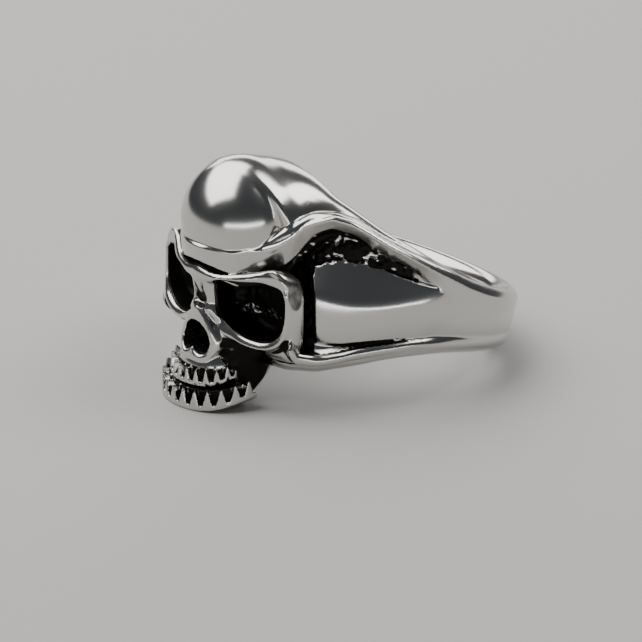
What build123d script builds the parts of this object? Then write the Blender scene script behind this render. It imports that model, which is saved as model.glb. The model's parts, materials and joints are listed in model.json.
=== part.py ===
"""A skull ring: one polished casting, worn on a finger.

The shank widens from a plain band at the back into two swept strands on each side. The upper
strands run into the round dome of the skull, and the lower ones into its cheekbones. The face has
a brow ridge, two deep eye sockets with thick rims, an open nose, and two rows of teeth parted by
grooves.

Ring frame, in millimetres: the origin is the middle of the finger hole, +Z runs along the finger
towards the top of the skull, and the face looks along -Y. The finished ring is then laid down as
it rests on a table, on its chin and on the back of the shank.
"""

from build123d import *
from math import asin, atan2, cos, hypot, radians, sin
import os

os.makedirs("parts", exist_ok=True)

# Shank. Its top slopes down to the finger, and its foot drops to shoulder_drop below the middle of
# the band beside the cheekbones.
finger_radius = 9.9
shank_wall = 2.1
shank_height = 4.4
edge_radius = 1.0
inner_slope = 0.15
shoulder_drop = 6.0

# Dome of the skull, an egg. A stand is how far something stands out in front of the shank, and a
# drop or a top is measured down or up from the middle of the band.
dome_stand = 5.4
dome_top = 8.6
dome_half_width = 5.6
dome_depth = 4.6
dome_rise = 4.75

# Block behind the dome, between the ends of the band: its top is a share like the band's
bridge_width = 5.6
bridge_depth = 2.4
bridge_top = 0.87

# Face, from the forehead down to the upper jaw
face_stand = 3.8
face_half_width = 7.8
face_drop = 7.0
cheek_setback = 3.3
face_back_share = 0.7

# Brow ridge
brow_stand = 5.0
brow_radius = 0.7
brow_drop = 1.1
temple_setback = 3.8
temple_inset = 0.7

# Eye sockets and their rims. The sockets turn outwards by eye_turn degrees.
eye_apart = 8.4
eye_stand = 2.2
eye_drop = 2.1
eye_turn = 18
socket_width = 6.4
socket_height = 4.9
socket_depth = 2.7
socket_taper = 8
rim_width = 0.8
rim_height = 0.6
rim_round = 0.48

# Nose
nose_stand = 2.9
nose_drop = 5.8
nose_width = 3.3
nose_height = 2.7
nose_depth = 1.8
nose_rim = 0.45

# Jaws: half ellipses about one centre, and heights above the table that the chin rests on
chin_stand = 1.2
chin_drop = 10.7
jaw_stand = 2.0
jaw_back = 0.3
upper_half_width = 3.9
upper_depth = 2.6
lower_half_width = 4.8
lower_depth = 3.0
bite_height = 1.75
bite_gap = 0.25
gum_inset = 0.7

# Grooves between the teeth, over an arc of groove_span degrees
tooth_pitch = 1.2
groove_width = 0.55
groove_depth = 0.6
groove_foot = 0.5
groove_height = 1.5
groove_span = 120

outer_radius = finger_radius + shank_wall
inner_radius = finger_radius - shank_wall / 2
half_height = shank_height / 2
wing = shoulder_drop - half_height
through = 3 * outer_radius

# How far the ring tips back when it lies on its chin and on the rounded edge behind the shank.
lean_y = outer_radius - edge_radius + outer_radius + chin_stand
lean_z = edge_radius - half_height + chin_drop
tilt = atan2(lean_z, lean_y) - asin(edge_radius / hypot(lean_y, lean_z))
table_normal = Vector(0, -sin(tilt), cos(tilt))
centre_height = chin_drop * cos(tilt) - (outer_radius + chin_stand) * sin(tilt)
nose_level = centre_height - nose_drop * cos(tilt) + (outer_radius + nose_stand) * sin(tilt)
upper_top = nose_level - nose_height / 4

# Sections of the ring from the face round to the back. Angles are in degrees from the face. The
# top's radius is a share of shank_wall outside the bore, and the other radii are shares of
# dome_stand outside the band. Heights of the top, lip and groove are shares of the way up from the
# band's edge to dome_top. Heights of the foot, and of the strand above its rounded edge, are shares
# of the wing, which is how far the shoulder drops below the band's edge.
ring_sections = [
    # angle, top r, top z, lip r, lip z, groove r, groove z, panel r, strand r, strand z, foot z
    (14, 0.55, 0.88, 0.45, 0.15, 0.25, -0.05, 0.10, 0.10, 0.00, 0.80),
    (22, 0.50, 0.85, 0.49, 0.24, 0.20, 0.08, 0.05, 0.12, -0.02, 0.92),
    (30, 0.45, 0.77, 0.33, 0.46, 0.06, 0.30, 0.00, 0.13, -0.02, 1.00),
    (38, 0.45, 0.70, 0.22, 0.55, -0.05, 0.38, 0.02, 0.13, 0.00, 0.98),
    (48, 0.45, 0.59, 0.17, 0.46, -0.08, 0.29, 0.04, 0.09, 0.02, 0.80),
    (58, 0.45, 0.48, 0.14, 0.36, -0.07, 0.20, 0.05, 0.06, 0.01, 0.56),
    (70, 0.45, 0.38, 0.09, 0.25, -0.04, 0.09, 0.04, 0.04, -0.01, 0.30),
    (83, 0.45, 0.26, 0.05, 0.13, -0.01, -0.02, 0.02, 0.02, 0.01, 0.12),
    (100, 0.45, 0.13, 0.01, 0.00, 0.00, -0.14, 0.00, 0.00, 0.01, 0.03),
    (125, 0.45, 0.04, 0.00, -0.11, 0.00, -0.20, 0.00, 0.00, 0.00, 0.00),
    (152, 0.45, 0.01, 0.00, -0.15, 0.00, -0.24, 0.00, 0.00, 0.00, 0.00),
    (180, 0.45, 0.00, 0.00, -0.15, 0.00, -0.24, 0.00, 0.00, 0.00, 0.00),
]

# Level sections of the face from the forehead down: heights as shares of face_drop, half widths
# as shares of face_half_width, and reaches at the middle as shares of the brow's and face's front.
face_sections = [
    # height, half width, reach
    (0.16, 0.80, 0.94),
    (0.02, 0.90, 1.00),
    (-0.23, 0.96, 1.00),
    (-0.58, 0.95, 0.96),
    (-0.80, 0.72, 0.95),
    (-1.00, 0.56, 0.94),
]

# Outline of an eye socket, from its outer side over the top: shares of half its width and height.
eye_outline = [
    # across, up
    (1.00, 0.20),
    (0.66, 0.90),
    (-0.15, 0.86),
    (-0.93, 0.60),
    (-1.00, -0.20),
    (-0.60, -0.60),
    (-0.16, -0.93),
    (0.42, -1.00),
    (0.82, -0.70),
]

# Outline of the nose, from its right side over the top: shares of half its width and height.
nose_outline = [
    # across, up
    (1.00, -0.40),
    (0.70, 0.40),
    (0.00, 1.00),
    (-0.70, 0.40),
    (-1.00, -0.40),
    (-0.50, -1.00),
    (0.00, -0.60),
    (0.50, -1.00),
]


def up(share):
    """Height for a share of the way up from the band's edge to the dome's top."""
    return half_height + share * (dome_top - half_height)


def out(share):
    """Radius for a share of the way from the band out to the dome's front."""
    return outer_radius + share * dome_stand


def radial_plane(angle):
    """Plane through the finger's axis at an angle from the face: its x is radius, its y height."""
    turn = radians(angle)
    return Plane(origin=(0, 0, 0), x_dir=(sin(turn), -cos(turn), 0), z_dir=(-cos(turn), -sin(turn), 0))


def table_plane(height):
    """Plane at a height above the table that the ring rests on, below the middle of the hole."""
    return Plane(origin=table_normal * (height - centre_height), x_dir=(1, 0, 0), z_dir=table_normal)


def face_plane(across, stand, drop, turn):
    """Plane that stands upright on the table, at a point of the face, turned to one side."""
    side = radians(turn)
    sideways = Vector(cos(side), sin(side) * cos(tilt), sin(side) * sin(tilt))
    place = (across, -outer_radius - stand, -drop)
    return Plane(origin=place, x_dir=sideways, z_dir=sideways.cross(table_normal))


def ring_section(angle, top_r, top_z, lip_r, lip_z, groove_r, groove_z, panel_r, strand_r, strand_z, foot_z):
    """One section: a quarter round from the top to the lip, a hollow flank and a rounded foot."""
    crown = finger_radius + top_r * shank_wall
    lip = (out(lip_r), up(lip_z))
    groove = (out(groove_r), up(groove_z))
    foot = -half_height - foot_z * wing
    strand = (out(strand_r), foot + edge_radius + strand_z * wing)
    panel = (out(panel_r), (groove[1] + strand[1]) / 2)
    sole = outer_radius - edge_radius
    round_top = [
        (crown + (lip[0] - crown) * sin(radians(turn)), lip[1] + (up(top_z) - lip[1]) * cos(radians(turn)))
        for turn in (0, 30, 60, 90)
    ]
    inner_top = (inner_radius, up(top_z) - inner_slope * (crown - inner_radius))
    with BuildSketch(radial_plane(angle)) as section:
        with BuildLine():
            Spline(inner_top, *round_top)
            Spline(lip, groove, panel, strand)
            EllipticalCenterArc((sole, strand[1]), strand[0] - sole, strand[1] - foot, 270, arc_size=90)
            Polyline((sole, foot), (inner_radius, foot), inner_top)
        make_face()
    return section.sketch


def face_section(height, width_share, reach_share):
    """One level section of the face: an arc from cheek to cheek, narrowing behind."""
    half = width_share * face_half_width
    reach = reach_share * (outer_radius + face_stand)
    side = reach - cheek_setback
    back = half * face_back_share
    with BuildSketch(Plane.XY.offset(height * face_drop)) as section:
        with BuildLine():
            ThreePointArc((-half, -side), (0, -reach), (half, -side))
            Polyline((half, -side), (back, -inner_radius), (-back, -inner_radius), (-half, -side))
        make_face()
    return section.sketch


def closed_face(outline, width, height, margin):
    """A face inside a closed curve through an outline's points, with a margin all round."""
    points = [(across * (width / 2 + margin), rise * (height / 2 + margin)) for across, rise in outline]
    with BuildSketch() as section:
        with BuildLine():
            Spline(*points, periodic=True)
        make_face()
    return section.sketch


def jaw_face(height, half_width, depth):
    """A level section of a jaw: half an ellipse in front of a narrow block."""
    centre = -outer_radius - jaw_stand
    back = centre + jaw_back
    with BuildSketch(table_plane(height)) as section:
        with BuildLine():
            EllipticalCenterArc((0, centre), half_width, depth, 180, arc_size=180)
            Polyline((half_width, centre), (half_width, back), (-half_width, back), (-half_width, centre))
        make_face()
    return section.sketch


def groove_planes(height, half_width, depth):
    """Planes along a jaw's front, one at the foot of each groove, facing out of the jaw."""
    step = tooth_pitch / half_width
    count = int(radians(groove_span) / step)
    planes = []
    for number in range(count):
        turn = (number - (count - 1) / 2) * step
        spot = Vector(half_width * sin(turn), -outer_radius - jaw_stand - depth * cos(turn), 0)
        out_x, out_y = sin(turn) / half_width, -cos(turn) / depth
        outward = Vector(out_x, out_y * cos(tilt), out_y * sin(tilt))
        place = table_plane(height).from_local_coords(spot)
        planes.append(Plane(origin=place, x_dir=table_normal.cross(outward), z_dir=outward))
    return planes


# The last row but one is repeated past the back, so that the loft runs level there.
after_back = (360 - ring_sections[-2][0], *ring_sections[-2][1:])
band_faces = [ring_section(*row) for row in [*ring_sections, after_back]]
with BuildPart() as band:
    loft(band_faces)
    split(bisect_by=Plane.YZ)
    mirror(about=Plane.YZ)

# The two ends of the band are joined behind the dome.
with BuildPart() as bridge:
    with Locations((0, -inner_radius, 0)):
        Box(bridge_width, bridge_depth, up(bridge_top), align=(Align.CENTER, Align.MAX, Align.MIN))

with BuildPart() as dome:
    Sphere(1)
    scale(by=(dome_half_width, dome_depth, dome_rise))

with BuildPart() as face:
    loft([face_section(*row) for row in face_sections])

brow_front = brow_radius - brow_stand - outer_radius
temple = (face_half_width - temple_inset - brow_radius, brow_front + temple_setback, -brow_drop)
over_eye = (eye_apart / 2, brow_front + temple_setback / 4, 0)
with BuildPart() as brow:
    with BuildLine() as ridge:
        Spline(
            (-temple[0], *temple[1:]),
            (-over_eye[0], *over_eye[1:]),
            (0, brow_front, -brow_drop),
            over_eye,
            temple,
        )
    with BuildSketch(ridge.line ^ 0):
        Circle(brow_radius)
    sweep()

eye_plane = face_plane(eye_apart / 2, eye_stand, eye_drop, eye_turn)
with BuildPart() as rims:
    with BuildSketch(eye_plane.offset(-rim_width)):
        add(closed_face(eye_outline, socket_width, socket_height, rim_width))
    extrude(amount=rim_width + rim_height)
    fillet(rims.faces().sort_by(Axis.Y)[0].edges(), min(rim_round, rim_width))
    mirror(about=Plane.YZ)

# The sockets and the nose are cut from their floors out past the rims.
socket_floor = eye_plane.offset(-socket_depth)
floor_margin = -socket_depth * sin(radians(socket_taper))
with BuildPart() as sockets:
    with BuildSketch(socket_floor):
        add(closed_face(eye_outline, socket_width, socket_height, floor_margin))
    extrude(amount=2 * socket_depth, taper=-socket_taper)
    mirror(about=Plane.YZ)

nose_floor = face_plane(0, nose_stand, nose_drop, 0).offset(-nose_depth)
with BuildPart() as nose:
    with BuildSketch(nose_floor):
        add(closed_face(nose_outline, nose_width, nose_height, nose_rim))
    extrude(amount=nose_depth + nose_rim)

with BuildPart() as nostrils:
    with BuildSketch(nose_floor):
        add(closed_face(nose_outline, nose_width, nose_height, 0))
    extrude(amount=2 * nose_depth)

bite_top = bite_height + bite_gap
with BuildPart() as jaws:
    add(jaw_face(0, lower_half_width - gum_inset, lower_depth - gum_inset))
    extrude(amount=upper_top)
    add(jaw_face(0, lower_half_width, lower_depth))
    extrude(amount=bite_height)
    add(jaw_face(bite_top, upper_half_width, upper_depth))
    extrude(amount=upper_top - bite_top)
    for plane in groove_planes(groove_foot, lower_half_width, lower_depth):
        with BuildSketch(plane):
            Circle(groove_width / 2)
            Rectangle(groove_width, bite_height - groove_foot, align=(Align.CENTER, Align.MIN))
    for plane in groove_planes(bite_top + groove_foot, upper_half_width, upper_depth):
        with BuildSketch(plane):
            Circle(groove_width / 2)
            Rectangle(groove_width, groove_height, align=(Align.CENTER, Align.MIN))
    extrude(amount=groove_depth, both=True, mode=Mode.SUBTRACT)

with BuildPart() as ring:
    with Locations((0, dome_depth - dome_stand - outer_radius, dome_top - dome_rise)):
        add(dome.part)
    add(band.part)
    add(bridge.part)
    add(face.part)
    add(brow.part)
    add(rims.part)
    add(nose.part)
    add(jaws.part)
    add(sockets.part, mode=Mode.SUBTRACT)
    add(nostrils.part, mode=Mode.SUBTRACT)
    Cylinder(finger_radius, through, mode=Mode.SUBTRACT)

# The ring is laid on the table, with the middle of what it covers at the origin.
laid = table_plane(0).to_local_coords(ring.part)
middle = laid.bounding_box().center()
with BuildPart() as skull_ring:
    with Locations((-middle.X, -middle.Y, 0)):
        add(laid)

skull_ring.part.label = "skull_ring"
export_step(skull_ring.part, "parts/skull_ring.step")
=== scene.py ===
"""A skull ring, cast in one piece and polished: its surface, its finish and a plain studio."""
import json
import logging
import math
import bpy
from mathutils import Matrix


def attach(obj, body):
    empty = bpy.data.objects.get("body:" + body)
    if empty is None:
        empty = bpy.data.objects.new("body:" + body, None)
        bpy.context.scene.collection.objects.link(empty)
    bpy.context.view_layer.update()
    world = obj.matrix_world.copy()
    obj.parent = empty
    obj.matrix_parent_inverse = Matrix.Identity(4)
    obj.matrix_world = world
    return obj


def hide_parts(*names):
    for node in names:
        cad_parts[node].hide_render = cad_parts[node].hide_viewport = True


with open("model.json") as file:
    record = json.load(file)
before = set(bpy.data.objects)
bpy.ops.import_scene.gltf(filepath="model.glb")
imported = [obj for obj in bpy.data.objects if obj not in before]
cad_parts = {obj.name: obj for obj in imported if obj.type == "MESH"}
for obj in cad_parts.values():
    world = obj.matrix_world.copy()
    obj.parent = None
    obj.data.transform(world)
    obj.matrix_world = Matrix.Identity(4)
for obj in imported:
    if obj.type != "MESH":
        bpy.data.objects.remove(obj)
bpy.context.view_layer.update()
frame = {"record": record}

from concurrent.futures import ThreadPoolExecutor
from dataclasses import dataclass, field
from enum import Enum
from typing import Callable, NamedTuple

import bpy
import numpy as np
from mathutils import Vector

log = logging.getLogger("skull_ring")
MM = 0.001
TINY = 1e-9  # keeps a divisor off nought
FAR = 1e3  # farther off than any form, in mm
DIAGONAL = 0.707  # turns a sum of two distances at right angles into the distance to their slant
WORKERS = 4
Values = np.ndarray
Field = Callable[[Values], Values]


def smooth_min(a: Values, b: Values, k: float) -> Values:
    """Joins two fields with a fillet: the smaller one, less k/4 where they are equal.

    Args:
        a: Distances to the first form.
        b: Distances to the second form.
        k: Width of the blend, in mm.

    Returns:
        Distances to the joined form.
    """
    share = np.clip(0.5 + 0.5 * (b - a) / k, 0.0, 1.0)
    return b + (a - b) * share - k * share * (1.0 - share)


def smooth_max(a: Values, b: Values, k: float) -> Values:
    """Cuts one field by another and rounds the edge: the larger one, plus k/4 where they are equal.

    Args:
        a: Distances to the form.
        b: Distances to the form that bounds it.
        k: Width of the blend, in mm.

    Returns:
        Distances to what is left.
    """
    return -smooth_min(-a, -b, k)


def cut(form: Values, *bounds: tuple) -> Values:
    """Cuts a form by each bound in turn and rounds the edges.

    Args:
        form: Distances to the form.
        bounds: Pairs of distances to a bound and the width of the blend, in mm.

    Returns:
        Distances to what is left.
    """
    for bound, blend in bounds:
        form = smooth_max(form, bound, blend)
    return form


def ease(low: float, high: float, value: Values) -> Values:
    """A smooth step: 3t^2 - 2t^3, with t from 0 at low to 1 at high, which may be the smaller one.

    Args:
        low: Where the step starts.
        high: Where it ends.
        value: What is measured.

    Returns:
        Values from 0 to 1.
    """
    t = np.clip((value - low) / (high - low), 0.0, 1.0)
    return t * t * (3.0 - 2.0 * t)


def between(rise: tuple, fall: tuple, value: Values) -> Values:
    """Rises from 0 to 1 over one span and falls back over another: a smooth step times one turned round.

    Args:
        rise: Where the rise starts and ends.
        fall: Where the fall starts and ends.
        value: What is measured.

    Returns:
        Values from 0 to 1.
    """
    return ease(*rise, value) * (1.0 - ease(*fall, value))


def ellipsoid(points: Values, centre: tuple, radii: tuple) -> Values:
    """Near-distance to an ellipsoid, or an ellipse in plan: k(k - 1)/g, with k = |p/r| and g = |p/r^2|.

    Args:
        points: Places, a row each.
        centre: Its middle.
        radii: Its half axes.

    Returns:
        Distances, negative inside.
    """
    radii = np.asarray(radii)
    scaled = (points - np.asarray(centre)) / radii
    reach = np.linalg.norm(scaled, axis=1) + TINY
    slope = np.linalg.norm(scaled / radii, axis=1) + TINY
    return reach * (reach - 1.0) / slope


def tube(points: Values, route: Values | tuple) -> Values:
    """Distance to a round bar along a route: the nearest of its straight runs, less the radius there.

    Args:
        points: Places, a row each.
        route: The route's corners, a row each, with the bar's radius in the last column.

    Returns:
        Distances, negative inside.
    """
    nearest = np.full(len(points), FAR)
    corners, radii = np.hsplit(np.asarray(route), [3])
    for start, end, first, last in zip(corners[:-1], corners[1:], radii[:-1, 0], radii[1:, 0]):
        run = end - start
        along = np.clip((points - start) @ run / (run @ run), 0.0, 1.0)
        off = points - start - along[:, None] * run
        length = np.sqrt(np.einsum("ij,ij->i", off, off))
        nearest = np.minimum(nearest, length - first - (last - first) * along)
    return nearest


def rounded_route(corners: Values, steps: int, closed: bool = False) -> Values:
    """A smooth curve through its corners: cubic pieces whose slopes are half the span of their neighbours.

    Args:
        corners: The points that it passes, a row each, with as many columns as wanted.
        steps: Points for each piece.
        closed: Whether it comes back to its start.

    Returns:
        The curve's points, a row each.
    """
    p = np.asarray(corners, float)
    if closed:
        p = np.vstack((p[-1], p, p[0], p[1]))
    else:
        p = np.vstack((2 * p[0] - p[1], p, 2 * p[-1] - p[-2]))
    t = np.linspace(0.0, 1.0, steps, endpoint=False)[None, :, None]
    a, b, c, d = p[:-3, None], p[1:-2, None], p[2:-1, None], p[3:, None]
    piece = b + 0.5 * t * (c - a + t * (2 * a - 5 * b + 4 * c - d + t * (3 * (b - c) + d - a)))
    curve = piece.reshape(-1, p.shape[1])
    return curve if closed else np.vstack((curve, p[-2]))


class Track:
    """A size that changes round the ring: a smooth monotone curve through a few stations."""

    LAST_ANGLE = 180.0
    STEPS = 720

    def __init__(self, angles: Values, sizes: Values) -> None:
        """Works the curve out at every quarter degree.

        Args:
            angles: The stations' angles, in degrees.
            sizes: The size at each one.
        """
        angles, sizes = np.asarray(angles, float), np.asarray(sizes, float)
        gap, rise = np.diff(angles), np.diff(sizes) / np.diff(angles)
        slope = np.zeros(len(angles))
        same = rise[:-1] * rise[1:] > 0
        before, after = 2 * gap[1:] + gap[:-1], gap[1:] + 2 * gap[:-1]
        with np.errstate(divide="ignore", invalid="ignore"):
            inner = (before + after) / (before / rise[:-1] + after / rise[1:])
        slope[1:-1] = np.where(same, inner, 0.0)
        self.angles = np.linspace(0.0, self.LAST_ANGLE, self.STEPS + 1)
        i = np.clip(np.searchsorted(angles, self.angles) - 1, 0, len(gap) - 1)
        t = np.clip((self.angles - angles[i]) / gap[i], 0.0, 1.0)
        self.sizes = (
            (1 + 2 * t) * (1 - t) ** 2 * sizes[i]
            + t * t * (3 - 2 * t) * sizes[i + 1]
            + gap[i] * t * (1 - t) * ((1 - t) * slope[i] - t * slope[i + 1])
        )

    def __call__(self, angle: Values) -> Values:
        """The size at an angle in degrees, read off the curve."""
        return np.interp(angle, self.angles, self.sizes)


class PolarOutline:
    """A closed outline round its own middle, kept as a radius for each direction."""

    STEPS_PER_PIECE = 24
    DIRECTIONS = 360

    def __init__(self, corners: Values) -> None:
        """Rounds the outline through its corners and reads its radius off every degree.

        Args:
            corners: Points of the outline, a row of across and up each, in mm from its middle.
        """
        curve = rounded_route(corners, self.STEPS_PER_PIECE, closed=True)
        turn = np.arctan2(curve[:, 1], curve[:, 0])
        order = np.argsort(turn)
        self.turn = np.linspace(-math.pi, math.pi, self.DIRECTIONS + 1)
        self.radius = np.interp(self.turn, turn[order], np.hypot(*curve.T)[order], period=2 * math.pi)
        slope = np.gradient(self.radius, self.turn)
        self.lean = self.radius / np.hypot(self.radius, slope)

    def distance(self, across: Values, up: Values) -> Values:
        """Near-distance to the outline: the gap along the ray from the middle, times the outline's lean.

        Args:
            across: First coordinate, from the middle.
            up: Second coordinate, from the middle.

        Returns:
            Distances, negative inside.
        """
        turn = np.arctan2(up, across)
        radius = np.interp(turn, self.turn, self.radius)
        return (np.hypot(across, up) - radius) * np.interp(turn, self.turn, self.lean)


class CastGrain:
    """The pitted skin that casting leaves: seeded noise on a lattice, eased between its nodes."""

    SIDE = 32

    def __init__(self, seed: int, cell: float) -> None:
        """Draws the lattice.

        Args:
            seed: Start of the random draws.
            cell: Distance between nodes, in mm.
        """
        self.lattice = np.random.default_rng(seed).uniform(-1.0, 1.0, (self.SIDE,) * 3)
        self.cell = cell

    def __call__(self, points: Values) -> Values:
        """Noise at the points: the eight nodes round each, weighed by an eased share along each axis.

        Args:
            points: Places, a row each.

        Returns:
            Values from -1 to 1.
        """
        low = np.floor(points / self.cell)
        t = ease(0.0, 1.0, points / self.cell - low)
        low = low.astype(int)
        total = np.zeros(len(points))
        for corner in np.ndindex(2, 2, 2):
            share = np.prod(np.where(corner, t, 1.0 - t), axis=1)
            total += share * self.lattice[tuple(((low + corner) % self.SIDE).T)]
        return total


@dataclass(frozen=True)
class RingFrame:
    """The ring's own frame: its middle is the hole's, and its axis leans back as the ring lies."""

    centre: Values
    lean: float
    bore: float

    @classmethod
    def from_record(cls, record: dict) -> "RingFrame":
        """Reads the finger hole.

        Args:
            record: The part's record.

        Returns:
            The frame, in mm and radians.
        """
        hole = next(m for m in record["mounts"] if m["name"] == "finger_hole")
        _, lean, rise = hole["axis"]
        return cls(np.array(hole["pos_m"]) / MM, math.atan2(lean, rise), hole["dims"]["r_mm"])

    def laid(self, points: Values) -> Values:
        """Turns points of the ring's frame to across, forward of the hole's middle, and height.

        Args:
            points: Places in the ring's frame, in mm, a row each.

        Returns:
            The same places as the ring lies on the table, in mm.
        """
        x, y, z = points.T
        c, s = math.cos(self.lean), math.sin(self.lean)
        return np.stack((x, -(y * c + z * s), z * c - y * s + self.centre[2]), axis=1)

    def world(self, points: Values) -> Values:
        """Turns points of the ring's frame to the scene's, in metres."""
        laid = self.laid(points)
        return np.stack((laid[:, 0], self.centre[1] - laid[:, 1], laid[:, 2]), axis=1) * MM

    def world_directions(self, directions: Values) -> Values:
        """Turns directions of the ring's frame to the scene's."""
        x, y, z = directions.T
        c, s = math.cos(self.lean), math.sin(self.lean)
        return np.stack((x, y * c + z * s, z * c - y * s), axis=1)


class Sample:
    """Points where the fields are read, mirrored to +X, in every way that the forms measure them."""

    def __init__(self, points: Values, ring: RingFrame) -> None:
        """Works the measures out.

        Args:
            points: Places in the ring's frame, in mm, a row each.
            ring: The frame itself.
        """
        self.points = np.abs(points) * (1, 0, 0) + points * (0, 1, 1)
        self.x, self.y, self.z = self.points.T
        self.radius = np.hypot(self.x, self.y)
        self.angle = np.degrees(np.arctan2(self.x, -self.y))
        self.laid = ring.laid(self.points)
        self.across, self.forward, self.height = self.laid.T
        self.plan = self.laid[:, :2]

    def past(self, angle: float | Values) -> Values:
        """Distance past the plane through the ring's axis at an angle from the face, in degrees."""
        return self.radius * np.sin(np.radians(self.angle - angle))


class Station(NamedTuple):
    """A section of the shank, at an angle from the face. All sizes are in mm, in the ring's frame."""

    angle: float
    top: float
    crown: float
    lip_out: float
    lip_up: float
    bead: float
    bead_turn: float
    under: float
    floor: float
    panel_up: float
    ridge_out: float
    ridge_up: float
    strand_out: float
    strand_up: float
    foot: float


@dataclass
class Shank:
    """The band that widens into two strands on each side of the skull, with a sunk panel between.

    A pair is a span of angles or of mm that a change is eased over. A round or a blend is a fillet's width.
    """

    stations: tuple = (
        Station(0, 8.10, 3.00, 17.40, 1.00, 0.36, 0, 2.20, 11.7, 2.0, 12.5, 0.00, 12.60, -4.2, -6.6),
        Station(10, 7.95, 2.80, 16.52, 1.24, 0.36, -5, 2.20, 11.7, 2.0, 12.5, 0.00, 12.60, -4.2, -6.5),
        Station(13, 7.86, 2.60, 15.97, 1.56, 0.46, -20, 2.20, 11.7, 2.0, 12.5, 0.00, 12.60, -4.2, -6.5),
        Station(16, 7.74, 2.40, 15.35, 1.98, 0.62, -35, 2.10, 11.7, 2.0, 12.5, 0.00, 12.60, -4.2, -6.5),
        Station(20, 7.52, 2.10, 14.9, 2.65, 1.15, -36, 1.80, 11.7, 2.0, 12.5, -0.05, 12.70, -4.2, -6.5),
        Station(23, 7.34, 1.90, 14.5, 3.45, 1.22, -25, 1.50, 11.7, 2.0, 12.5, -0.05, 12.80, -4.2, -6.5),
        Station(26, 7.16, 1.80, 13.98, 4.60, 1.18, 0, 1.20, 11.7, 2.0, 12.5, -0.08, 14.6, -4.2, -6.5),
        Station(30, 6.96, 1.70, 13.6, 5.28, 1.15, 20, 0.95, 11.7, 2.0, 12.5, -0.10, 14.5, -4.3, -6.4),
        Station(34, 6.74, 1.65, 13.3, 5.68, 1.12, 34, 0.85, 11.7, 2.4, 12.5, -0.10, 13.55, -5.1, -6.2),
        Station(39, 6.44, 1.65, 13.1, 5.65, 1.10, 38, 0.80, 11.7, 2.75, 12.5, -0.14, 12.85, -5.0, -6.0),
        Station(45, 6.05, 1.70, 12.95, 5.35, 1.05, 38, 0.80, 11.7, 2.85, 12.5, -0.10, 12.60, -4.5, -5.5),
        Station(52, 5.58, 1.80, 12.8, 4.85, 1.00, 36, 0.80, 11.7, 2.85, 12.48, 0.15, 12.50, -3.75, -4.9),
        Station(66, 4.80, 1.90, 12.6, 4.00, 1.00, 30, 0.95, 11.7, 2.60, 12.42, 1.02, 12.26, -2.62, -3.7),
        Station(74, 4.30, 1.90, 12.48, 3.50, 1.00, 24, 1.80, 11.7, 2.50, 12.38, 1.62, 12.16, -2.10, -3.2),
        Station(81, 3.90, 1.90, 12.38, 3.10, 1.00, 18, 8.00, 11.6, 2.9, 12.30, 2.30, 12.06, -1.85, -2.85),
        Station(89, 3.45, 1.80, 12.22, 2.60, 1.00, 14, 8.00, 11.5, 2.5, 12.20, 2.10, 11.98, -1.60, -2.55),
        Station(105, 2.85, 1.30, 12.08, 1.90, 1.00, 12, 8.00, 11.3, 1.9, 12.08, 1.50, 11.92, -1.40, -2.30),
        Station(125, 2.45, 1.00, 12.0, 1.45, 1.00, 10, 8.00, 11.3, 1.4, 12.02, 1.20, 11.90, -1.30, -2.20),
        Station(180, 2.20, 1.00, 12.0, 1.20, 1.00, 10, 8.00, 11.3, 1.2, 12.02, 1.00, 11.90, -1.20, -2.20),
    )
    crown_middle: float = 10.6
    band_middle: float = 11.0
    band_span: tuple = (80.0, 120.0)
    roll: float = 0.30
    roll_height: float = 0.16
    roll_rise: tuple = (13.0, 17.0)
    roll_fall: tuple = (34.0, 50.0)
    roll_blend: float = 0.2
    fill: float = 0.20
    fill_round: float = 0.1
    lip_round: float = 0.06
    under_step: float = 0.95
    front_step: float = 0.75
    front_rise: tuple = (0.0, 16.0)
    front_fall: tuple = (22.0, 30.0)
    back_step: float = 4.0
    back_span: tuple = (66.0, 76.0)
    neck: float = 1.5
    neck_height: float = 0.9
    neck_round: float = 0.2
    neck_blend: float = 0.3
    flank_radius: float = 8.0
    flank_sag: float = 0.12
    flank_lift: float = 0.7
    flank_round: float = 0.30
    flank_blend: float = 0.08
    back_sag: float = 0.9
    back_sag_span: tuple = (64.0, 88.0)
    panel_lean: float = 0.27
    panel_round: float = 0.12
    panel_top_round: float = 0.20
    channel_end: float = 31.2
    channel_slant: float = 1.3
    channel_round: float = 0.35
    strand_start: float = 31.0
    strand_radius: float = 0.46
    strand_round: float = 0.3
    strand_blend: float = 0.12
    foot_middle: float = 11.05
    foot_radius: float = 1.0
    foot_blend: float = 0.3
    core_step: float = 1.2
    core_round: float = 0.3
    core_lift: float = 0.55
    core_foot_round: float = 0.5
    rough_rise: tuple = (20.0, 24.0)
    rough_fall: tuple = (60.0, 72.0)
    rough_over_panel: tuple = (-0.25, 0.15)
    rough_under_lip: tuple = (0.55, 0.75)
    rough_channel: tuple = (-0.3, 0.3)
    rough_foot: tuple = (-4.2, -3.0)
    rough_radius: tuple = (12.5, 13.4)
    grain_depth: float = 0.10

    def __post_init__(self) -> None:
        """Makes a track of each of the stations' columns, and the grain of the sunk panel."""
        rows = np.array(self.stations)
        self.tracks = {name: Track(rows[:, 0], rows[:, i]) for i, name in enumerate(Station._fields)}
        self.grain = CastGrain(seed=7, cell=0.34)

    def read(self, s: Sample) -> dict:
        """Reads every track at the sample's angles.

        Args:
            s: Where to read.

        Returns:
            The sizes, by name.
        """
        return {name: track(s.angle) for name, track in self.tracks.items()}

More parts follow.
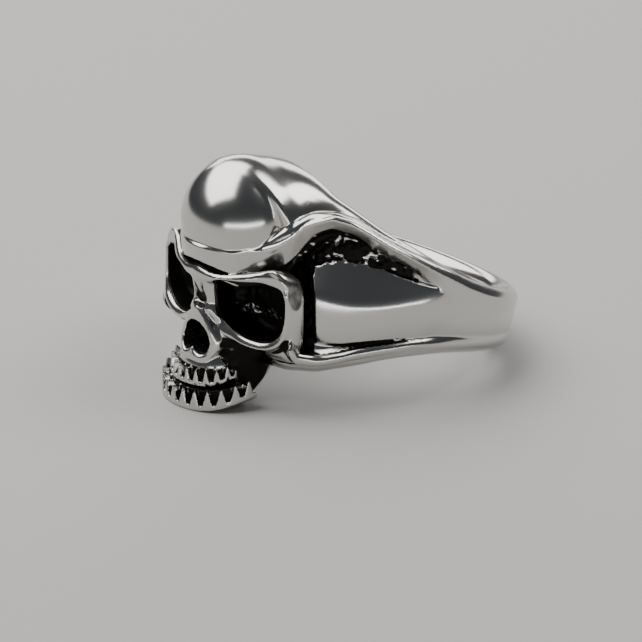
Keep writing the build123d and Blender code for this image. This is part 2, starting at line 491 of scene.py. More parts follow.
    def strands(self, s: Sample, t: dict) -> tuple:
        """The upper strand's rounds: the crown inside, and the bead with a fine roll on its lip.

        Args:
            s: Where to read.
            t: The tracks' sizes there.

        Returns:
            Distances to each, negative inside.
        """
        back = ease(*self.band_span, s.angle)
        middle = self.crown_middle + (self.band_middle - self.crown_middle) * back
        crown = np.hypot(s.radius - middle, s.z - t["top"] + t["crown"]) - t["crown"]
        turn = np.radians(t["bead_turn"])
        recess = self.roll_height * between(self.roll_rise, self.roll_fall, s.angle)
        out = t["lip_out"] - recess - t["bead"] * np.cos(np.maximum(turn, 0.0))
        up = t["lip_up"] - t["bead"] * np.sin(turn)
        bead = np.hypot(s.radius - out, np.maximum(s.z - up, 0.0)) - t["bead"]
        bead = np.minimum(bead, smooth_max(s.radius - out, s.z - up + self.fill, self.fill_round))
        roll = np.hypot(s.radius - t["lip_out"] + self.roll, s.z - t["lip_up"]) - self.roll
        return crown, smooth_min(bead, roll, self.roll_blend)

    def under(self, s: Sample, t: dict) -> Values:
        """What bounds the upper strand and the dome from below: a lip that leans in, a step, and a neck.

        Args:
            s: Where to read.
            t: The tracks' sizes there.

        Returns:
            Distances, negative above the lip.
        """
        lean = (t["lip_up"] - t["under"] * (t["lip_out"] - s.radius) - s.z) / np.sqrt(1 + t["under"] ** 2)
        low = t["foot"] + self.foot_radius
        edge = t["lip_up"] - self.band(s)
        step = np.maximum(edge, low) - s.z
        deep = np.maximum(edge - self.neck_height, low) - s.z
        neck = smooth_max(s.radius - t["lip_out"] + self.neck, deep, self.neck_round)
        return smooth_max(lean, smooth_min(step, neck, self.neck_blend), self.lip_round)

    def band(self, s: Sample) -> Values:
        """Height of the polished band under the lip: deepest beside the skull, and closed at the back."""
        front = self.front_step * between(self.front_rise, self.front_fall, s.angle)
        return self.under_step + front + self.back_step * ease(*self.back_span, s.angle)

    def past_channel(self, s: Sample) -> Values:
        """Distance past the channel behind the cheek, whose end slants with height."""
        return s.past(self.channel_end - self.channel_slant * s.z)

    def rough(self, s: Sample, t: dict) -> Values:
        """How far a point lies in the rough top corner of the panel or the channel behind the cheek.

        Args:
            s: Where to read.
            t: The tracks' sizes there.

        Returns:
            Shares from 0 to 1.
        """
        along = between(self.rough_rise, self.rough_fall, s.angle)
        above = ease(*self.rough_over_panel, s.z - t["panel_up"])
        above = above * ease(*self.rough_under_lip, t["lip_up"] - s.z)
        channel = (1.0 - ease(*self.rough_channel, self.past_channel(s))) * ease(*self.rough_foot, s.z)
        return along * np.maximum(above, channel) * (1.0 - ease(*self.rough_radius, s.radius))

    def body(self, s: Sample, t: dict) -> Values:
        """What lies below the lip: core, panel and flank, lower strand and foot.

        Args:
            s: Where to read.
            t: The tracks' sizes there.

        Returns:
            Distances, negative inside.
        """
        core = cut(
            s.radius - t["floor"],
            (s.z - t["top"] + self.core_step, self.core_round),
            (t["foot"] + self.core_lift - s.z, self.core_foot_round),
        )
        sag = self.flank_sag + self.back_sag * ease(*self.back_sag_span, s.angle)
        middle_out = t["ridge_out"] + 0.5 * self.flank_sag ** 2 / self.flank_radius
        flank = np.hypot(s.radius - middle_out + self.flank_radius, s.z - t["ridge_up"] + sag)
        panel = s.radius - t["ridge_out"] + (s.z - t["ridge_up"]) * self.panel_lean
        flank = cut(
            flank - self.flank_radius,
            (panel, self.panel_round),
            (s.z - t["panel_up"], self.panel_top_round),
            (t["foot"] + self.flank_lift - s.z, self.flank_round),
            (-self.past_channel(s), self.channel_round),
        )
        strand = np.hypot(s.radius - t["strand_out"] + self.strand_radius, s.z - t["strand_up"])
        strand = smooth_max(strand - self.strand_radius, -s.past(self.strand_start), self.strand_round)
        foot = np.hypot(s.radius - self.foot_middle, s.z - t["foot"] - self.foot_radius) - self.foot_radius
        body = smooth_min(core, foot, self.foot_blend)
        body = smooth_min(body, flank, self.flank_blend)
        return smooth_min(body, strand, self.strand_blend)


@dataclass
class Dome:
    """The top of the skull: an egg-shaped ball, and the hood that it swells out of.

    The hood is a rounded block whose front is cut off by a plane that leans forward as it rises.
    """

    centre: tuple = (0.0, -13.75, 3.72)
    radii: tuple = (4.40, 4.15, 4.39)
    hood_centre: tuple = (0.0, -10.9, 3.0)
    hood_radii: tuple = (5.50, 7.6, 5.0)
    hood_power: float = 2.5
    hood_front: float = -13.95
    hood_front_up: float = 5.0
    hood_front_lean: float = 0.62
    hood_round: float = 0.5
    crease: float = 0.45
    ridge_route: tuple = ((0.0, -13.6, 5.00, 3.3), (0.0, -12.4, 5.05, 3.3), (0.0, -10.6, 4.75, 3.3))
    ridge_blend: float = 0.8

    def ball(self, s: Sample) -> Values:
        """Distances to the ball."""
        return ellipsoid(s.points, self.centre, self.radii)

    def join(self, s: Sample, hood: Values) -> Values:
        """Joins the ball to the hood with a crease, and fills the crown between them with a broad ridge.

        Args:
            s: Where to read.
            hood: Distances to the hood there.

        Returns:
            Distances to both.
        """
        both = smooth_min(hood, self.ball(s), self.crease)
        return smooth_min(both, tube(s.points, self.ridge_route), self.ridge_blend)

    def hood(self, s: Sample) -> Values:
        """Distances to the hood: the block's level set, scaled by its slope, cut by the leaning plane."""
        radii, power = np.array(self.hood_radii), self.hood_power
        scaled = np.abs(s.points - np.array(self.hood_centre)) / radii
        reach = np.sum(scaled ** power, axis=1) ** (1.0 / power) + TINY
        slope = np.linalg.norm(scaled ** (power - 1.0) / radii, axis=1) * reach ** (1.0 - power) + TINY
        front = self.hood_front - self.hood_front_lean * (s.z - self.hood_front_up) - s.y
        front = front / math.hypot(1.0, self.hood_front_lean)
        return smooth_max((reach - 1.0) / slope, front, self.hood_round)


@dataclass
class Face:
    """Brow, temples, eye rims and sockets, muzzle and nose, in the laid frame: across, forward, height.

    A round or a blend is a fillet's width. Temple, forehead and rim_gone are spans that a change is eased
    over. The sides curve in by side_bulge times the squared distances from side_middle, along and up.
    """

    eye_middle: tuple = (4.2, 14.1, 8.45)
    eye_turn: float = 18.0
    eye_width: float = 6.4
    eye_height: float = 4.9
    eye_depth: float = 2.7
    eye_taper: float = 0.14
    eye_shares: tuple = (
        (0.97, 0.20), (0.87, 0.54), (0.62, 0.70), (-0.10, 0.72), (-0.88, 0.60), (-1.00, -0.10),
        (-0.85, -0.62), (-0.50, -0.98), (-0.10, -1.17), (0.38, -1.17), (0.72, -0.92), (0.93, -0.42),
    )
    eye_round: float = 1.1
    wall: float = 0.36
    wall_round: float = 0.5
    roof_round: float = 0.4
    grain_depth: float = 0.07
    sink: float = 1.8
    sink_less: float = 1.5
    temple: tuple = (3.0, 5.2)
    forehead: tuple = (8.6, 9.8)
    rim_width: float = 0.55
    rim_low: float = -0.10
    rim_rise: float = 0.50
    rim_fall: float = 0.6
    rim_gone: tuple = (1.0, 1.9)
    rim_slope: float = 0.85
    rim_round: float = 0.28
    rim_depth: float = 2.6
    rim_foot_round: float = 0.4
    rim_blend: float = 0.35
    bottom: float = 3.95
    bottom_slope: float = 0.1
    bottom_middle: float = 11.5
    bottom_round: float = 1.2
    side: float = 7.3
    side_bulge: tuple = (0.12, 0.02)
    side_middle: tuple = (12.0, 8.0)
    side_round: float = 0.5
    back: float = 11.2
    back_round: float = 0.4
    top: float = 1.05
    top_round: float = 0.35
    corner: float = 7.6
    corner_round: float = 0.6
    brow_route: tuple = (
        (0.0, 15.29, 10.19, 0.50), (1.2, 15.22, 10.16, 0.50), (2.4, 14.93, 10.17, 0.48),
        (3.9, 14.09, 10.49, 0.42), (5.3, 13.00, 10.70, 0.40), (6.5, 11.95, 10.50, 0.40),
    )
    brow_blend: float = 0.35
    groove: float = 1.75
    groove_round: float = 0.3
    dent_middle: tuple = (8.30, 12.25, 10.05)
    dent_radii: tuple = (1.22, 1.15, 1.95)
    dent_round: float = 0.22
    nose_middle: float = 5.3
    nose_corners: tuple = (
        (2.10, -0.20), (2.00, -1.00), (1.30, -1.60), (0.0, -1.60), (-1.30, -1.60), (-2.00, -1.00),
        (-2.10, -0.20), (-1.55, 0.75), (-0.85, 1.75), (0.0, 2.25), (0.85, 1.75), (1.55, 0.75),
    )
    hole_corners: tuple = (
        (1.50, -0.40), (1.30, -1.05), (0.80, -1.36), (0.28, -1.10), (0.0, -0.85), (-0.28, -1.10),
        (-0.80, -1.36), (-1.30, -1.05), (-1.50, -0.40), (-1.20, 0.45), (-0.60, 1.00), (0.0, 1.15),
        (0.60, 1.00), (1.20, 0.45),
    )
    nose_front: float = 15.85
    nose_lean: float = 0.16
    nose_top: float = 2.0
    nose_curve: float = 0.16
    nose_round: float = 0.22
    nose_back: float = 12.5
    nose_back_round: float = 0.3
    nose_blend: float = 0.18
    nose_depth: float = 1.9
    hole_round: float = 0.5
    bridge_route: tuple = (
        (0.0, 14.75, 10.3, 0.95), (0.0, 14.65, 9.4, 0.95), (0.0, 14.25, 8.5, 0.92), (0.0, 14.35, 7.6, 0.85),
    )
    bridge_blend: float = 0.6
    apex_route: tuple = ((0.0, 15.50, 7.35, 0.32), (0.9, 15.05, 7.30, 0.26), (1.35, 14.85, 7.05, 0.24))
    apex_blend: float = 0.5
    muzzle_radii: tuple = (3.5, 4.2)
    muzzle_middle: tuple = (0.0, 11.5)
    muzzle_top: float = 6.0
    muzzle_top_round: float = 0.8
    muzzle_slant: float = 13.7
    muzzle_slant_round: float = 0.5
    chin_clearance: float = 0.3
    chin_round: float = 0.3

    def __post_init__(self) -> None:
        """Works out the outlines and the routes."""
        half = np.array((self.eye_width, self.eye_height)) / 2
        self.eye = PolarOutline(np.array(self.eye_shares)[::-1] * half)
        self.nose = PolarOutline(np.array(self.nose_corners)[::-1])
        self.hole = PolarOutline(np.array(self.hole_corners)[::-1])
        self.brow = rounded_route(self.brow_route, steps=3)
        self.grain = CastGrain(seed=11, cell=0.32)

    def eye_place(self, s: Sample) -> tuple:
        """Where a point lies by the eye's plane: outward along it, up it and in front of it.

        Args:
            s: Where to read.

        Returns:
            The three measures, in mm.
        """
        c, n = math.cos(math.radians(self.eye_turn)), math.sin(math.radians(self.eye_turn))
        x, f = s.across - self.eye_middle[0], s.forward - self.eye_middle[1]
        return x * c - f * n, s.height - self.eye_middle[2], x * n + f * c

    def solid(self, s: Sample, lip: Values) -> Values:
        """The face before anything is sunk into it.

        Args:
            s: Where to read.
            lip: Height of the lip there, which a groove keeps the brow off.

        Returns:
            Distances, negative inside.
        """
        out, up, proud = self.eye_place(s)
        edge = self.eye.distance(out, up)
        raised = np.maximum(ease(*self.temple, s.across), ease(*self.forehead, s.height))
        under = self.bottom - s.height + self.bottom_slope * (s.forward - self.bottom_middle)
        block = smooth_max(proud + self.sink - self.sink_less * raised, under, self.bottom_round)
        crest = self.rim_low + self.rim_rise * edge - self.rim_fall * ease(*self.rim_gone, up)
        rim = cut(
            edge - self.rim_width,
            ((proud - crest) * self.rim_slope, self.rim_round),
            (-proud - self.rim_depth, self.rim_foot_round),
        )
        face = smooth_max(smooth_min(block, rim, self.rim_blend), s.z - lip + self.groove, self.groove_round)
        face = smooth_min(face, tube(s.laid, self.brow), self.brow_blend)
        off = (s.laid[:, 1:] - self.side_middle) ** 2 @ self.side_bulge
        face = cut(
            face,
            (s.across - self.side + off, self.side_round),
            (self.back - s.forward, self.back_round),
            (s.z - self.top, self.top_round),
            ((s.across + s.z - self.corner) * DIAGONAL, self.corner_round),
            (-ellipsoid(s.laid, self.dent_middle, self.dent_radii), self.dent_round),
        )
        face = smooth_min(face, tube(s.laid, self.bridge_route), self.bridge_blend)
        face = smooth_min(face, tube(s.laid, self.apex_route), self.apex_blend)
        return smooth_min(face, self.nose_solid(s), self.nose_blend)

    def nose_solid(self, s: Sample) -> Values:
        """The nose's raised rim, a wedge with the nose's outline that comes forward towards its foot.

        Args:
            s: Where to read.

        Returns:
            Distances, negative inside.
        """
        up = s.height - self.nose_middle
        front = s.forward - self.nose_front - self.nose_lean * (self.nose_top - up)
        return cut(
            self.nose.distance(s.across, up),
            (front + self.nose_curve * s.across ** 2, self.nose_round),
            (self.nose_back - s.forward, self.nose_back_round),
        )

    def muzzle(self, s: Sample) -> Values:
        """What carries the teeth: an upright block on an ellipse, cut off above, below and by a slant.

        Args:
            s: Where to read.

        Returns:
            Distances, negative inside.
        """
        return cut(
            ellipsoid(s.plan, self.muzzle_middle, self.muzzle_radii),
            (s.height - self.muzzle_top, self.muzzle_top_round),
            ((self.muzzle_slant - s.forward - s.height) * DIAGONAL, self.muzzle_slant_round),
            (self.chin_clearance - s.height, self.chin_round),
        )

    def sunk(self, s: Sample) -> Values:
        """What is sunk into the face: eye sockets and nose hole.

        Args:
            s: Where to read.

        Returns:
            Distances, negative inside the hollows.
        """
        out, up, proud = self.eye_place(s)
        grain = self.grain_depth * self.grain(s.points)
        eye = cut(
            self.eye.distance(out, up) - self.eye_taper * proud,
            (-self.eye_depth - grain - proud, self.eye_round),
            (s.across - self.side + self.wall, self.wall_round),
            (self.back + self.wall - s.forward, self.wall_round),
            (s.z - self.top + self.wall, self.roof_round),
        )
        hole = self.hole.distance(s.across, s.height - self.nose_middle)
        floor = self.nose_front - self.nose_depth - s.forward - grain
        return np.minimum(eye, smooth_max(hole, floor, self.hole_round))


class Bite(Enum):
    """The two rows of teeth."""

    UPPER = "upper"
    LOWER = "lower"


@dataclass
class Jaw:
    """A row of teeth: pointed plates on a band, in front of a gum, along half an ellipse."""

    half_width: float
    depth: float
    low: float
    rise: float
    rise_power: float
    band: float
    apex: float
    top: float
    pitch: float
    middle: float
    back: float
    gum_round: float
    blend: float
    back_round: float = 0.3
    sink: float = 0.6
    gap_round: float = 0.20
    gap_slope: float = 0.9
    least_forward: float = 1e-6
    tip: float = 0.035
    plate_round: float = 0.10
    gum_blend: float = 0.08
    foot_round: float = 0.12

    @classmethod
    def of(cls, bite: Bite) -> "Jaw":
        """Chooses the sizes of a row.

        Args:
            bite: Which row.

        Returns:
            The row.
        """
        if bite is Bite.UPPER:
            return cls(
                half_width=3.2, depth=2.6, low=1.80, rise=0.6, rise_power=6, band=0.34, apex=1.30,
                top=2.3, pitch=0.86, middle=14.6, back=14.2, gum_round=1.4, blend=0.30,
            )
        return cls(
            half_width=4.4, depth=3.8, low=0.0, rise=1.0, rise_power=4, band=0.42, apex=1.60,
            top=1.55, pitch=1.10, middle=13.9, back=13.4, gum_round=0.35, blend=0.15,
        )

    def __post_init__(self) -> None:
        """Measures the arc along a quarter of the ellipse once, at every half degree."""
        self.turn = np.linspace(0.0, math.pi / 2, 181)
        x, f = self.half_width * np.sin(self.turn), self.depth * np.cos(self.turn)
        self.arc = np.concatenate(([0.0], np.cumsum(np.hypot(np.diff(x), np.diff(f)))))

    def field(self, s: Sample) -> Values:
        """Distances to the row: gum behind, and plates whose gaps are round below and widen upward.

        Args:
            s: Where to read.

        Returns:
            Distances, negative inside.
        """
        edge = ellipsoid(s.plan, (0.0, self.middle), (self.half_width, self.depth))
        edge = smooth_max(edge, self.back - s.forward, self.back_round)
        share = s.across / self.half_width
        height = s.height - self.low - self.rise * share ** self.rise_power
        turn = np.arctan2(share, np.maximum(s.forward - self.middle, self.least_forward) / self.depth)
        arc = np.interp(turn, self.turn, self.arc)
        off = np.abs(arc - self.pitch * np.round(arc / self.pitch))
        over = height - self.band - self.gap_round
        widen = (self.pitch / 2 - self.gap_round - self.tip) / (self.apex - self.band - self.gap_round)
        gap = np.hypot(off, np.minimum(over, 0.0)) - self.gap_round - widen * np.maximum(over, 0.0)
        plates = cut(edge, (-gap * self.gap_slope, self.plate_round), (height - self.apex, self.plate_round))
        gum = smooth_max(edge + self.sink, height - self.top, self.gum_round)
        return smooth_max(smooth_min(plates, gum, self.gum_blend), -height, self.foot_round)


@dataclass(frozen=True)
class OxideAndPaintedShade:
    """Which places keep the black oxide, and where shade is painted black: under the cheek and in the
    temple's dent. A pair is a span that a share of it is eased over, down if it falls.

    A value named bright is the share of the black that polishing takes off there.
    """

    reaches: tuple = (0.4, 0.9, 1.6)
    shut: tuple = (0.20, 0.46)
    keen_depth: float = 0.25
    keen: tuple = (0.25, 0.6)
    keen_bright: float = 0.8
    under_band: tuple = (0.15, -0.2)
    near_lip: tuple = (1.5, 1.1)
    above_lip: tuple = (0.1, -0.1)
    peaks: tuple = (0.3, 0.6)
    rough: float = 0.95
    peak_bright: float = 0.8
    socket_edge: tuple = (0.25, -0.05)
    socket_depth: tuple = (-0.25, -0.6)
    seam_drop: float = 1.35
    seam_width: tuple = (0.5, 0.2)
    seam_depth: tuple = (-1.5, -2.1)
    seam_grain: tuple = (0.0, 0.3)
    seam_grain_scale: float = 1.8
    seam_bright: float = 0.8
    nose_edge: tuple = (0.05, -0.15)
    nose_depth: tuple = (0.1, 0.6)
    # where shade is painted black on the muzzle's side under the cheek
    cheek_shade_forward: tuple = (14.9, 14.2)
    cheek_shade_across: tuple = (4.7, 4.2)
    cheek_shade_top: tuple = (4.7, 4.2)
    cheek_shade_foot: tuple = (1.9, 2.6)
    cheek_shade_back: tuple = (13.6, 13.2)
    cheek_shade_back_drop: float = 2.0
    gum_foot: tuple = (2.9, 3.3)
    gum_top: tuple = (4.8, 4.4)
    gum_forward: tuple = (15.0, 15.5)
    gum_bright: float = 0.85
    groove_edge: tuple = (-0.35, -0.1)
    groove_height: tuple = (9.9, 10.3)
    groove_depth: tuple = (1.2, 1.5)
    groove_across: tuple = (5.4, 4.6)
    # where shade is painted into the temple's dent
    dent_middle: tuple = (7.2, 12.15, 9.95)
    dent_radii: tuple = (3.0, 0.95, 1.75)
    dent_shade_edge: tuple = (0.0, -0.30)
    dent: float = 0.46
    bore: tuple = (0.5, 1.0)

    def polished_lip(self, s: Sample, t: dict, band: Values) -> Values:
        """How far a point lies on the polished lip, or on the band under it.

        Args:
            s: Where to read.
            t: The shank's sizes there.
            band: The band's height there.

        Returns:
            Shares from 0 to 1.
        """
        under = t["lip_up"] - s.z
        near = np.maximum(ease(*self.near_lip, t["lip_out"] - s.radius), ease(*self.above_lip, under))
        return ease(*self.under_band, under - band) * near

    def gum(self, s: Sample) -> Values:
        """How far a point lies on the polished skin between the nose and the upper teeth."""
        height = ease(*self.gum_foot, s.height) * ease(*self.gum_top, s.height)
        return height * ease(*self.gum_forward, s.forward)

    def hollows(self, s: Sample, t: dict, face: Face, grain: Values) -> Values:
        """Black of the face's hollows and painted shade: the largest share of socket, nose and groove black,
        of painted shade on the muzzle's side under the cheek, and of painted shade in the temple's dent.

        Args:
            s: Where to read.
            t: The shank's sizes there.
            face: The face.
            grain: The sockets' grain there, which differs from side to side.

        Returns:
            Shares from 0 to 1.
        """
        out, up, proud = face.eye_place(s)
        socket = ease(*self.socket_edge, face.eye.distance(out, up)) * ease(*self.socket_depth, proud)
        seam = ease(*self.seam_width, np.abs(up + self.seam_drop)) * ease(*self.seam_depth, proud)
        seam = seam * ease(*self.seam_grain, grain)
        nose = ease(*self.nose_edge, face.hole.distance(s.across, s.height - face.nose_middle))
        nose = nose * ease(*self.nose_depth, face.nose_front - s.forward)
        # painted shade: the muzzle's side under the cheek, between the jaws, is made black where shade falls
        cheek = ease(*self.cheek_shade_forward, s.forward) * ease(*self.cheek_shade_across, s.across)
        foot = s.height + self.cheek_shade_back_drop * ease(*self.cheek_shade_back, s.forward)
        cheek = cheek * ease(*self.cheek_shade_top, s.height) * ease(*self.cheek_shade_foot, foot)
        groove = ease(*self.groove_edge, t["lip_up"] - s.z - face.groove)
        groove = groove * ease(*self.groove_height, s.height) * ease(*self.groove_across, s.across)
        groove = groove * ease(*self.groove_depth, t["lip_out"] - s.radius)
        # painted shade: the temple's dent is darkened to the dark reflection that it shows
        dent = self.dent * ease(*self.dent_shade_edge, ellipsoid(s.laid, self.dent_middle, self.dent_radii))
        return np.max((socket * (1.0 - self.seam_bright * seam), nose, cheek, groove, dent), axis=0)


@dataclass
class Casting:
    """The whole ring as one field, with the black that its hollows keep, and shade painted black under the
    cheek and in the temple's dent.
    """

    ring: RingFrame
    shank: Shank = field(default_factory=Shank)
    dome: Dome = field(default_factory=Dome)
    face: Face = field(default_factory=Face)
    jaws: tuple = field(default_factory=lambda: tuple(Jaw.of(bite) for bite in Bite))
    oxide_and_painted_shade: OxideAndPaintedShade = OxideAndPaintedShade()
    zone_y: float = -6.5
    zone_z: float = 4.0
    crown_blend: float = 1.2
    bead_blend: float = 0.22
    under_round: float = 0.12
    cap_blend: float = 0.10
    bore_round: float = 0.45
    face_blend: float = 0.35
    muzzle_blend: float = 0.5
    sunk_round: float = 0.18
    probe: float = 0.015

    def face_zone(self, s: Sample) -> Values:
        """Whether a point is near enough to the face for its forms to matter."""
        return (s.y < self.zone_y) & (s.z < self.zone_z)

    def field(self, points: Values) -> Values:
        """Distances to the ring: every form joined, the hollows taken out, then the finger hole.

        Args:
            points: Places in the ring's frame, in mm, a row each.

        Returns:
            Distances, negative inside.
        """
        s = Sample(points, self.ring)
        t = self.shank.read(s)
        crown, bead = self.shank.strands(s, t)
        cap = self.dome.join(s, smooth_min(self.dome.hood(s), crown, self.crown_blend))
        cap = smooth_min(cap, bead, self.bead_blend)
        cap = smooth_max(cap, self.shank.under(s, t), self.under_round)
        whole = self.shank.body(s, t)
        rough = self.shank.rough(s, t)
        some = rough > 0
        whole[some] += rough[some] * self.shank.grain_depth * self.shank.grain(points[some])
        zone = self.face_zone(s)
        whole[zone] = self.skull(Sample(points[zone], self.ring), whole[zone])
        whole = smooth_min(whole, cap, self.cap_blend)
        return smooth_max(whole, self.ring.bore - s.radius, self.bore_round)

    def skull(self, s: Sample, shank: Values) -> Values:
        """Joins the face and the jaws to the shank and sinks the hollows.

        Args:
            s: Where to read.
            shank: Distances to the shank there.

        Returns:
            Distances, negative inside.
        """
        solid = self.face.solid(s, self.shank.tracks["lip_up"](s.angle))
        solid = smooth_min(shank, solid, self.face_blend)
        solid = smooth_min(solid, self.face.muzzle(s), self.muzzle_blend)
        solid = smooth_max(solid, -self.face.sunk(s), self.sunk_round)
        for jaw in self.jaws:
            solid = smooth_min(solid, jaw.field(s), jaw.blend)
        return solid

    def normals(self, points: Values) -> tuple:
        """The field and its direction of growth, from four readings at the corners of a small tetrahedron.

        Args:
            points: Places in the ring's frame, in mm, a row each.

        Returns:
            The field at each point, and its gradient.
        """
        corners = np.array(((1, -1, -1), (-1, -1, 1), (-1, 1, -1), (1, 1, 1)), float)
        read = np.stack([parallel(self.field, points + self.probe * c) for c in corners], axis=1)
        return read.mean(axis=1), read @ corners / (len(corners) * self.probe)

    def patina(self, points: Values, normals: Values) -> Values:
        """How black each point is: hollows that a polishing wheel can't reach keep the black, and shade is
        painted black under the cheek and in the temple's dent.

        Args:
            points: Places on the surface, in mm, a row each.
            normals: Unit directions out of it.

        Returns:
            Shares from 0, bright steel, to 1, black.
        """
        look = self.oxide_and_painted_shade
        shut = np.zeros(len(points))
        for reach in look.reaches:
            clear = parallel(self.field, points + reach * normals)
            shut += np.clip((reach - clear) / reach, 0.0, 1.0) / len(look.reaches)
        inner = parallel(self.field, points - look.keen_depth * normals)
        keen = np.clip(1.0 + inner / look.keen_depth, 0.0, 1.0)
        s = Sample(points, self.ring)
        t = self.shank.read(s)
        black = ease(*look.shut, shut) * (1.0 - look.polished_lip(s, t, self.shank.band(s)))
        black = np.clip(black - look.keen_bright * ease(*look.keen, keen), 0.0, 1.0)
        peaks = ease(*look.peaks, self.shank.grain(points))
        black = np.maximum(black, self.shank.rough(s, t) * (look.rough - look.peak_bright * peaks))
        black = black * (1.0 - look.gum_bright * look.gum(s))
        grain = self.face.grain(look.seam_grain_scale * points)
        # black of the face's hollows, with painted shade under the cheek and in the temple's dent
        hollows = np.where(self.face_zone(s), look.hollows(s, t, self.face, grain), 0.0)
        return np.maximum(black, hollows) * ease(*look.bore, s.radius - self.ring.bore)


def parallel(function: Field, points: Values, size: int = 60000) -> Values:
    """Reads a field in blocks, several at once.

    Args:
        function: The field.
        points: Places, a row each.
        size: Points in a block.

    Returns:
        The field's values, in the points' order.
    """
    blocks = [points[i:i + size] for i in range(0, len(points), size)]
    with ThreadPoolExecutor(WORKERS) as pool:
        return np.concatenate(list(pool.map(function, blocks)))


@dataclass
class SurfaceNet:
    """Turns a field into a closed mesh of quads on a grid whose steps grow away from the face."""

    across: tuple = ((0.0, 0.135), (7.6, 0.26), (12.9, 0.0))
    behind: tuple = ((-18.0, 0.135), (-11.4, 0.20), (-6.8, 0.50), (12.6, 0.0))
    upward: tuple = ((-11.8, 0.135), (1.4, 0.15), (9.2, 0.0))
    group: int = 4
    reach: float = 1.15
    rounds: int = 2
    evening: float = 0.5
    most_shift: float = 0.08
    last_shift: float = 0.05

    def axis(self, stops: tuple) -> Values:
        """Spaces nodes along an axis: even steps between stops, with a count that the group divides.

        Args:
            stops: Pairs of a place and the step from there on.

        Returns:
            The nodes' places.
        """
        places = [np.array([stops[0][0]])]
        for (start, step), (end, _) in zip(stops[:-1], stops[1:]):
            count = max(self.group, round((end - start) / step / self.group) * self.group)
            places.append(np.linspace(start, end, count + 1)[1:])
        return np.concatenate(places)

    def axes(self) -> tuple:
        """The three axes of the grid, in the ring's frame, with across from the middle outwards."""
        return tuple(self.axis(stops) for stops in (self.across, self.behind, self.upward))

    def fill(self, function: Field, axes: tuple) -> Values:
        """Reads the field at the nodes near the surface, found on a grid of one node in each group.

        Args:
            function: The field.
            axes: The grid's axes.

        Returns:
            The field at every node; away from the surface only its sign is right.
        """
        sparse = [a[::self.group] for a in axes]
        nodes = np.stack(np.meshgrid(*sparse, indexing="ij"), axis=-1)
        rough = parallel(function, nodes.reshape(-1, 3)).reshape(nodes.shape[:3])
        spans = np.meshgrid(*[np.diff(a) for a in sparse], indexing="ij")
        diagonal = np.sqrt(sum(span ** 2 for span in spans))
        least = np.full(diagonal.shape, FAR)
        for corner in np.ndindex(2, 2, 2):
            window = tuple(slice(c, c + n) for c, n in zip(corner, diagonal.shape))
            least = np.minimum(least, np.abs(rough[window]))
        cells = least < self.reach * diagonal
        for side in range(3):
            cells = cells.repeat(self.group, axis=side)
        near = np.zeros([len(a) for a in axes], bool)
        for corner in np.ndindex(2, 2, 2):
            window = tuple(slice(c, c + n) for c, n in zip(corner, cells.shape))
            near[window] |= cells
        nearest = [np.minimum(np.arange(len(a)) // self.group, len(p) - 1) for a, p in zip(axes, sparse)]
        values = rough[np.ix_(*nearest)]
        where = np.nonzero(near)
        points = np.stack([a[i] for a, i in zip(axes, where)], axis=1)
        log.info("grid %s, %d nodes read", values.shape, len(points))
        values[where] = parallel(function, points)
        return values

    def trace(self, function: Field) -> tuple:
        """Puts a vertex in each cell that the surface passes, and a quad round each edge that it crosses.

        Args:
            function: The field, of which the half at +X is read and mirrored.

        Returns:
            The vertices' places, a row each, and the quads' vertices, a row each.
        """
        axes = self.axes()
        half = self.fill(function, axes)
        values = np.concatenate((half[:0:-1], half))
        axes = (np.concatenate((-axes[0][:0:-1], axes[0])), axes[1], axes[2])
        inside = values < 0
        cells = np.array(values.shape) - 1
        crossings, rings = [], []
        for side in range(3):
            first, last = [slice(None)] * 3, [slice(None)] * 3
            first[side], last[side] = slice(0, -1), slice(1, None)
            node = np.stack(np.nonzero(inside[tuple(first)] != inside[tuple(last)]), axis=1)
            other = node.copy()
            other[:, side] += 1
            here, there = values[tuple(node.T)], values[tuple(other.T)]
            share = here / (here - there)
            place = np.stack([axes[i][node[:, i]] for i in range(3)], axis=1)
            step = axes[side][other[:, side]] - axes[side][node[:, side]]
            place[:, side] += share * step
            u, v = (side + 1) % 3, (side + 2) % 3
            ring = []
            for back_u, back_v in ((1, 1), (0, 1), (0, 0), (1, 0)):
                cell = node.copy()
                cell[:, u] -= back_u
                cell[:, v] -= back_v
                ring.append((cell[:, 0] * cells[1] + cell[:, 1]) * cells[2] + cell[:, 2])
            ring = np.stack(ring, axis=1)
            ring[here >= 0] = ring[here >= 0][:, ::-1]
            crossings.append(place)
            rings.append(ring)
        rings = np.concatenate(rings)
        places = np.repeat(np.concatenate(crossings), 4, axis=0)
        _, index = np.unique(rings, return_inverse=True)
        index = index.reshape(-1)
        count = np.bincount(index)
        vertices = np.stack([np.bincount(index, places[:, i]) / count for i in range(3)], axis=1)
        return self.largest(vertices, index.reshape(-1, 4))

    @staticmethod
    def largest(vertices: Values, quads: Values) -> tuple:
        """Keeps the largest part: vertices take the lowest number of their quads' until that settles.

        Args:
            vertices: Places, a row each.
            quads: The quads' vertices.

        Returns:
            The part's vertices and quads.
        """
        label, settled = np.arange(len(vertices)), False
        while not settled:
            lower = label.copy()
            np.minimum.at(lower, quads, label[quads].min(axis=1)[:, None])
            lower = lower[lower]
            settled = np.array_equal(lower, label)
            label = lower
        kept = label == np.bincount(label).argmax()
        number = np.cumsum(kept) - 1
        return vertices[kept], number[quads[kept[quads[:, 0]]]]

